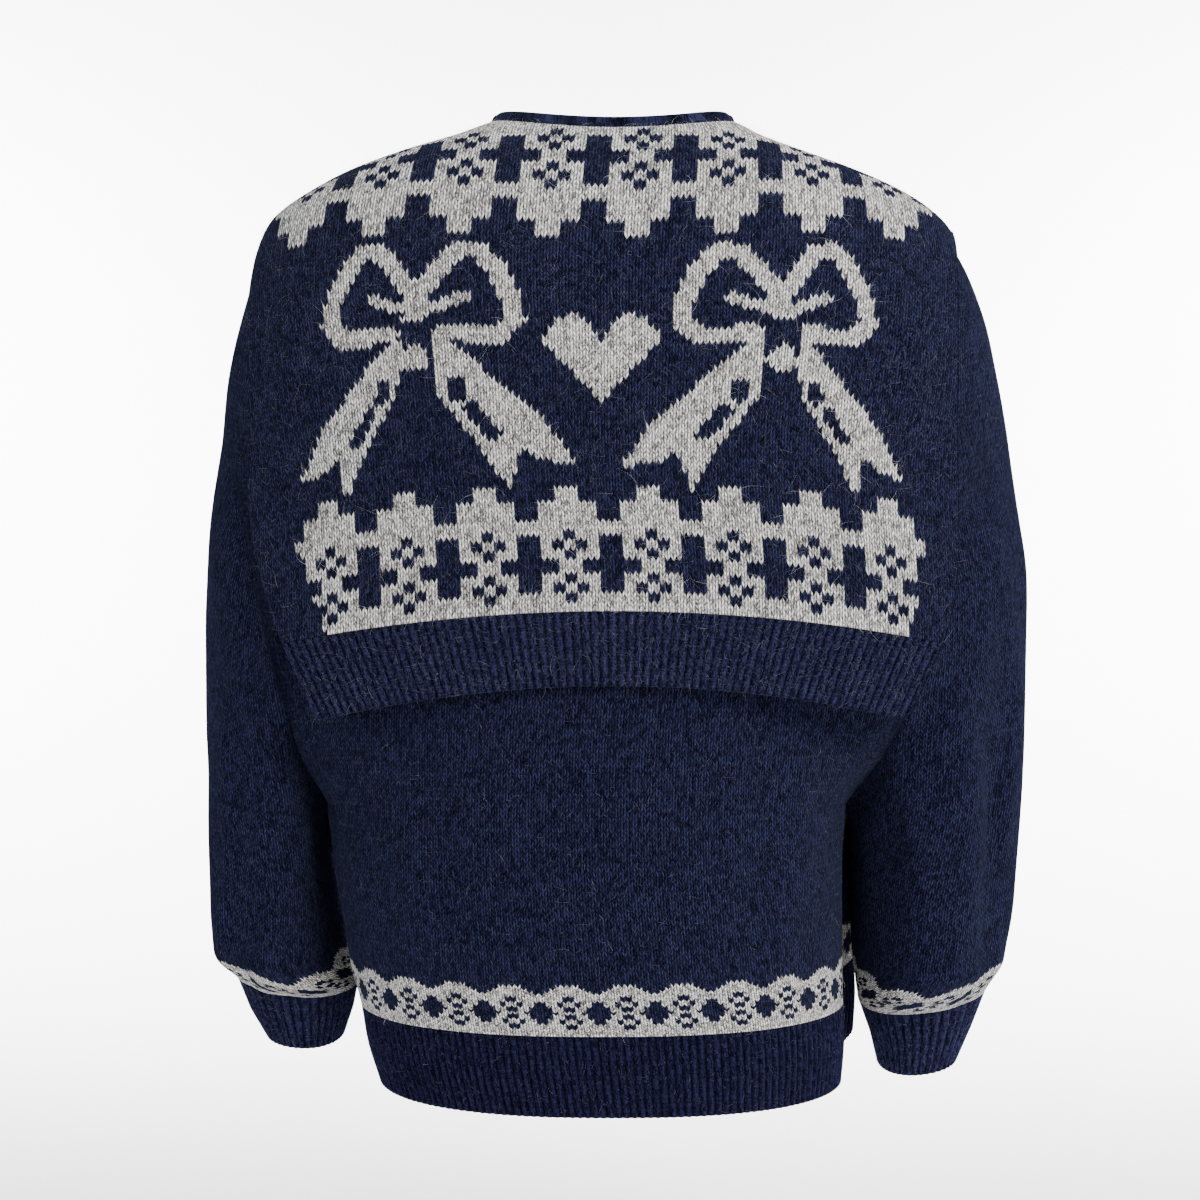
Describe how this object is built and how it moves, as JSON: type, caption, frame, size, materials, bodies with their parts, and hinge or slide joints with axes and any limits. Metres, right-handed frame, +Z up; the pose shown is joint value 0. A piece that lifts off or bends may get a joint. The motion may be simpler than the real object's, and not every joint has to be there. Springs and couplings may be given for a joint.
{
  "type": "jacquard sweater",
  "caption": "Loose knitted pullover with a wide collar that falls over the back, full sleeves, and ribbed hem, cuffs and collar edge, hollow as when worn.",
  "frame": {"origin": "on the middle line, over the shoulder line, at the height of the top of the back neck, where the wearer's neck and shoulders hold the garment", "axes": "+Z up, +Y towards the garment's back, +X towards the wearer's left"},
  "size_m": [0.5476, 0.2488, 0.6383],
  "materials": {
    "back_knit": "brushed wool knit, navy with a pale grey border over the hem",
    "front_knit": "brushed wool knit, navy with a pale grey border over the hem",
    "sleeve_left_knit": "brushed wool knit, navy with a pale grey border over the cuff",
    "sleeve_right_knit": "brushed wool knit, navy with a pale grey border over the cuff",
    "cuff_left_knit": "ribbed wool knit, dark navy",
    "cuff_right_knit": "ribbed wool knit, dark navy",
    "hem_rib_knit": "ribbed wool knit, dark navy",
    "neck_edge_knit": "fine edge knitted on, dark navy",
    "collar_knit": "brushed jacquard wool knit, navy with pale grey borders, bows and a heart",
    "collar_rib_knit": "ribbed wool knit, dark navy"
  },
  "bodies": {
    "root": {"back": "back_knit", "front": "front_knit", "sleeve_left": "sleeve_left_knit", "sleeve_right": "sleeve_right_knit", "cuff_left": "cuff_left_knit", "cuff_right": "cuff_right_knit", "hem_rib": "hem_rib_knit", "neck_edge": "neck_edge_knit", "collar": "collar_knit", "collar_rib": "collar_rib_knit"}
  },
  "joints": []
}
